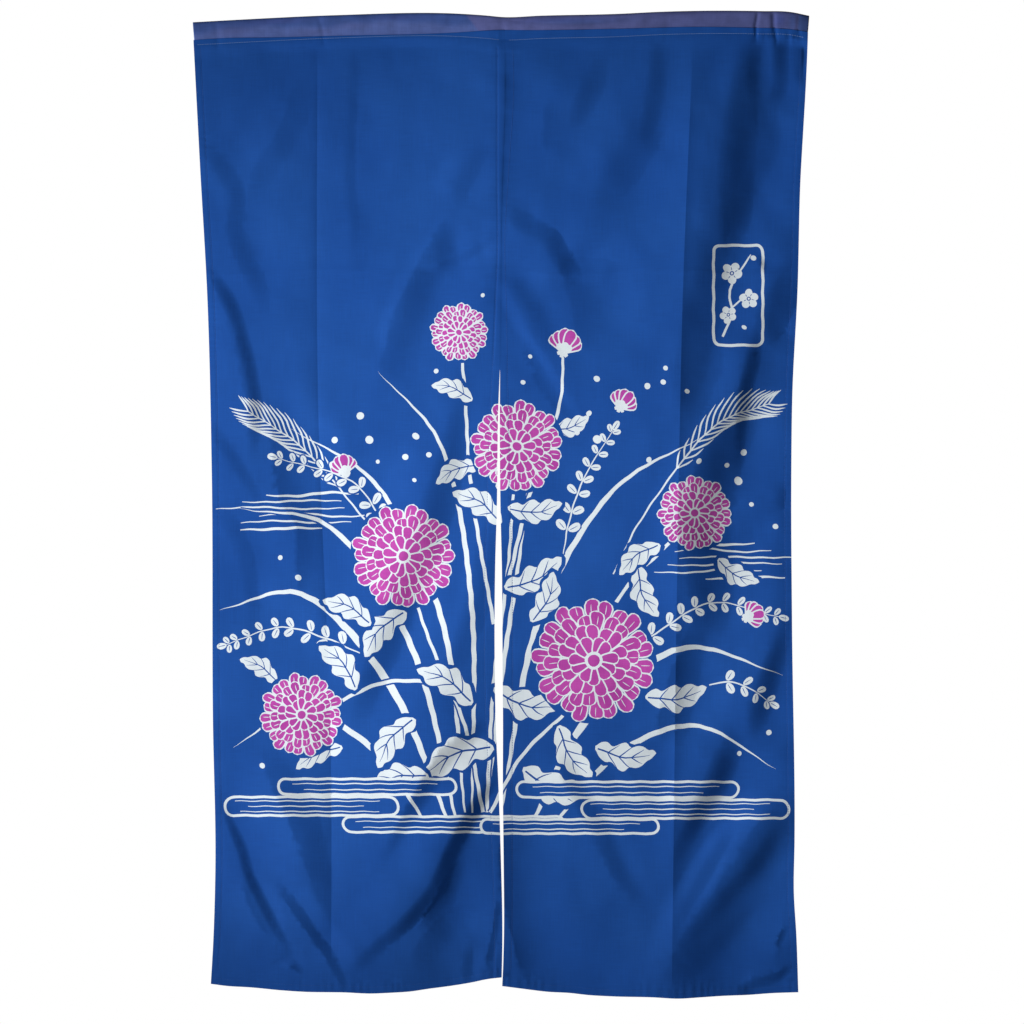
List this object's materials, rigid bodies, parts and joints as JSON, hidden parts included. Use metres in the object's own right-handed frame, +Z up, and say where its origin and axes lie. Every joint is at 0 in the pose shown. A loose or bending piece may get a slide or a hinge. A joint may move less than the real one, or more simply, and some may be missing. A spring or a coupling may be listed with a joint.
{
  "type": "noren curtain",
  "caption": "Split door curtain (noren): two blue cloth panels sewn together at the top, slit below, with a rod pocket along the top edge.",
  "frame": {"origin": "middle of the top edge, on the line where a rod carries the curtain", "axes": "+Z up along the hanging cloth, +X to the right seen from the printed side, the printed side looks along -Y"},
  "size_m": [0.853, 0.035, 1.3663],
  "materials": {
    "blue_cloth": "plain woven, matte with a slight sheen",
    "heading_cloth": "plain woven, dull violet grey"
  },
  "bodies": {
    "root": {"heading": "heading_cloth", "left_panel": "blue_cloth", "right_panel": "blue_cloth"}
  },
  "joints": []
}
